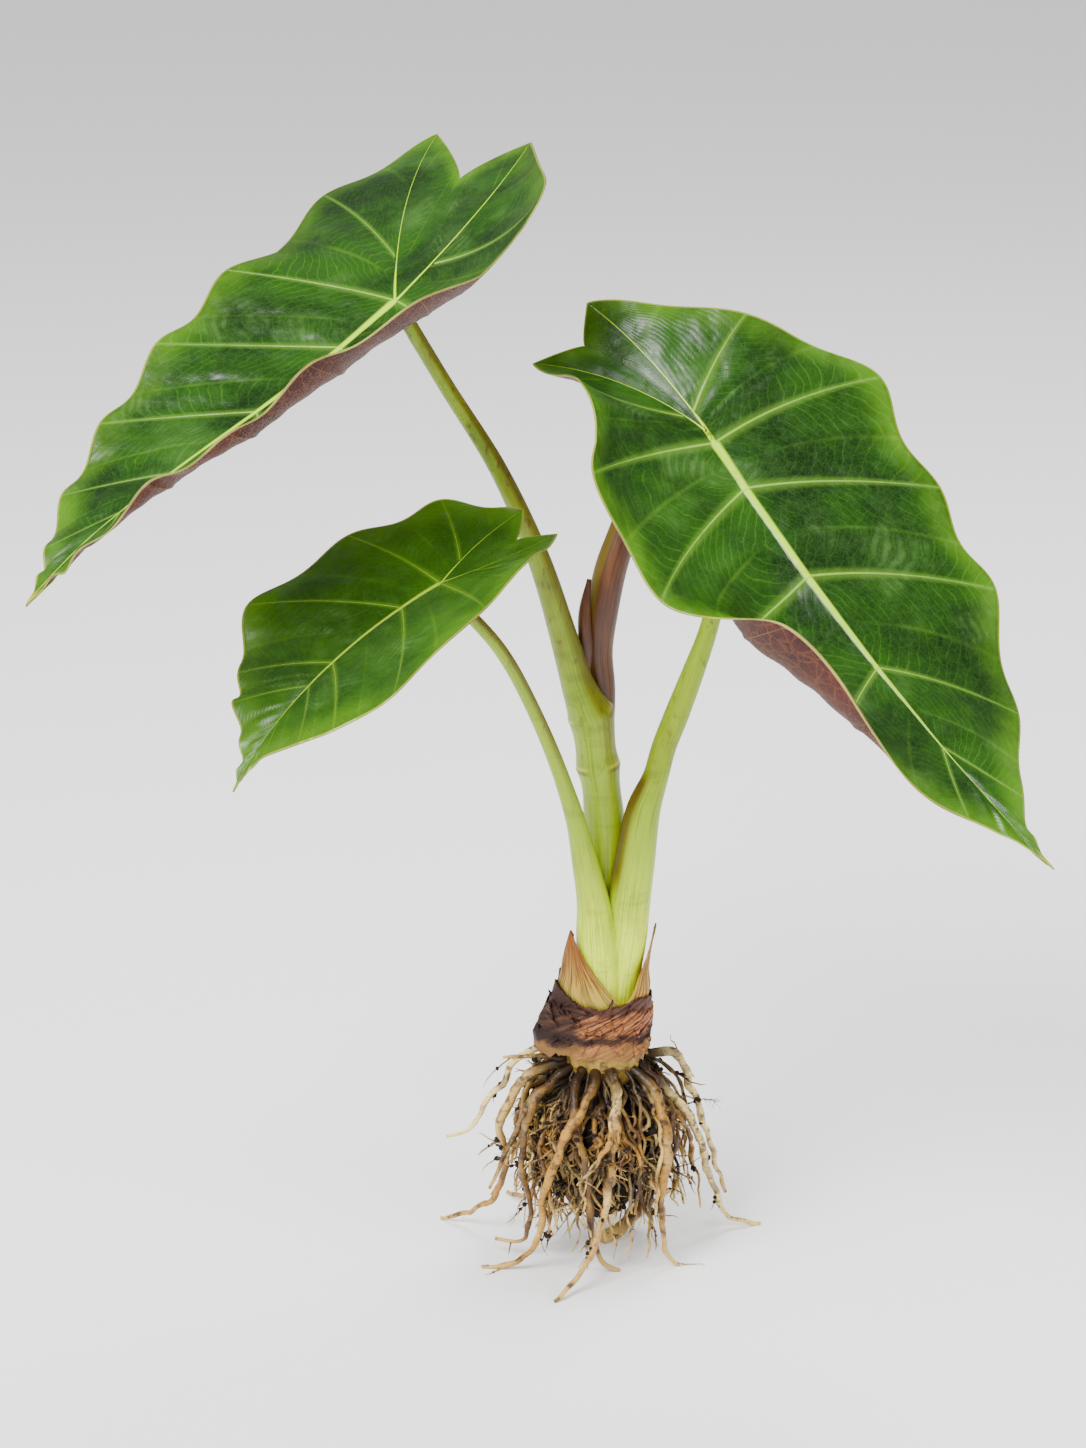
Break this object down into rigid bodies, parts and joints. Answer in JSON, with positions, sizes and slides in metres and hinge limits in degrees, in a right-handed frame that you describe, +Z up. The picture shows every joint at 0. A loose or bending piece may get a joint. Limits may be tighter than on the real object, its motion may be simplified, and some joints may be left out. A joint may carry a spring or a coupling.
{
  "type": "alocasia plant with corm",
  "caption": "Young bare-root alocasia plant standing on its roots: corm, soil, dry scales, petioles, a rolled new leaf and arrow-shaped blades.",
  "frame": {"origin": "point on the ground under the stem, at the flat end of the middle root", "axes": "+Z up along the stem, +X towards the right-hand leaf, the plant's front towards -Y"},
  "size_m": [0.3343, 0.2463, 0.4049],
  "materials": {
    "corm": "matte root and corm skin",
    "soil": "damp dark peat crumbs",
    "collar": "dry brown leaf base",
    "sheath_left": "dry striped scale",
    "sheath_right": "dry striped scale",
    "petiole_1": "smooth green stalk",
    "petiole_2": "smooth green stalk",
    "petiole_3": "smooth green stalk",
    "new_leaf": "smooth purple-brown rolled leaf",
    "new_leaf_scale": "dry scale",
    "blade_1": "glossy green above, purple-brown below",
    "blade_2": "glossy green above, purple-brown below",
    "blade_3": "glossy green above, paler below"
  },
  "bodies": {
    "root": {"corm": "corm", "soil": "soil", "collar": "collar", "sheath_left": "sheath_left", "sheath_right": "sheath_right", "petiole_1": "petiole_1", "petiole_2": "petiole_2", "petiole_3": "petiole_3", "new_leaf": "new_leaf", "new_leaf_scale": "new_leaf_scale", "blade_1": "blade_1", "blade_2": "blade_2", "blade_3": "blade_3"}
  },
  "joints": []
}
